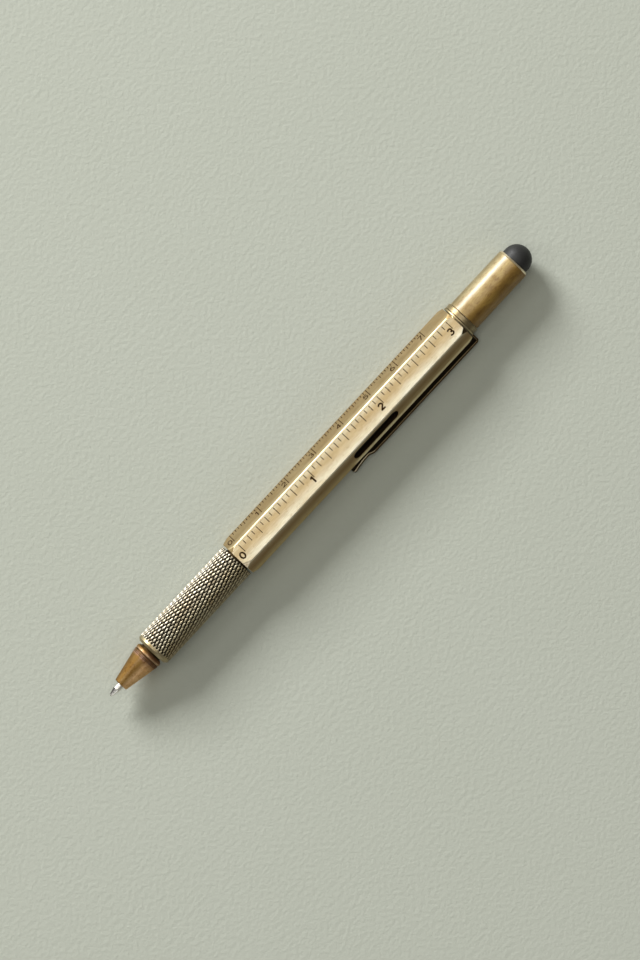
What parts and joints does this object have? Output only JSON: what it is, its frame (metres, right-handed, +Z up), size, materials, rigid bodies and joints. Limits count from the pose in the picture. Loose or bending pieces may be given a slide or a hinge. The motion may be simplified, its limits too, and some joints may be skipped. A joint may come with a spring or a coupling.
{
  "type": "multi tool pen",
  "caption": "Twist-out ballpoint pen with a hexagonal ruler barrel, spirit level, pocket clip, stylus tip and a screwdriver bit under its cap.",
  "frame": {"origin": "middle of the barrel's resting face, on the surface the pen lies on", "axes": "+X from the writing tip to the cap, +Z up through the ruler face, clip towards -Y"},
  "size_m": [0.1537, 0.0128, 0.0098],
  "materials": {
    "brass": "satin antique brass with worn bright edges",
    "aged_brass": "darker, redder antique brass",
    "knurled_brass": "pale brass crests over dark grooves",
    "steel": "bright",
    "dark_steel": "dark satin",
    "refill_metal": "dull",
    "rubber": "matte",
    "black_plastic": "matte",
    "white_plastic": "satin",
    "clear_plastic": "clear",
    "level_liquid": "clear yellow-green"
  },
  "bodies": {
    "barrel": {"barrel": "brass", "vial_cradle": "black_plastic", "level_vial": "clear_plastic", "level_liquid": "level_liquid", "vial_plug": "white_plastic", "cam_sleeve": "brass", "clip_ring": "aged_brass", "top_bushing": "brass", "bit_magnet": "dark_steel"},
    "twister": {"grip_sleeve": "knurled_brass", "drive_tube": "brass", "friction_ring": "rubber", "retaining_ring": "steel"},
    "nose": {"nose_cone": "aged_brass"},
    "refill": {"refill_tube": "refill_metal", "refill_point": "steel", "writing_ball": "steel", "plunger": "white_plastic", "cam_pin": "steel"},
    "clip": {"clip_arm": "aged_brass"},
    "cap": {"cap_tube": "brass", "stylus_tip": "rubber", "stylus_plug": "black_plastic"},
    "bit": {"driver_bit": "dark_steel"}
  },
  "joints": [
    {"name": "grip_twist", "type": "hinge", "parent": "barrel", "child": "twister", "pos_m": [-0.04095, 0, 0.0049], "axis": [1, 0, 0], "range_deg": [0, 180]},
    {"name": "refill_slide", "type": "slide", "parent": "twister", "child": "refill", "axis": [1, 0, 0], "range_m": [0, 0.0055]},
    {"name": "nose_off", "type": "slide", "parent": "twister", "child": "nose", "axis": [-1, 0, 0], "range_m": [0, 0.021]},
    {"name": "cap_pull", "type": "slide", "parent": "barrel", "child": "cap", "axis": [1, 0, 0], "range_m": [0, 0.034]},
    {"name": "bit_pull", "type": "slide", "parent": "barrel", "child": "bit", "axis": [1, 0, 0], "range_m": [0, 0.0195]},
    {"name": "clip_flex", "type": "hinge", "parent": "barrel", "child": "clip", "pos_m": [0.04045, -0.00623, 0.0013], "axis": [0, -0.5, 0.866], "range_deg": [0, 4], "stiffness_Nm_per_rad": 0.08}
  ],
  "couplings": [
    {"joint": "grip_twist", "follows": "refill_slide", "rad_per_m": 571.2},
    {"joint": "bit_pull", "follows": "cap_pull", "ratio": 0.57353}
  ]
}
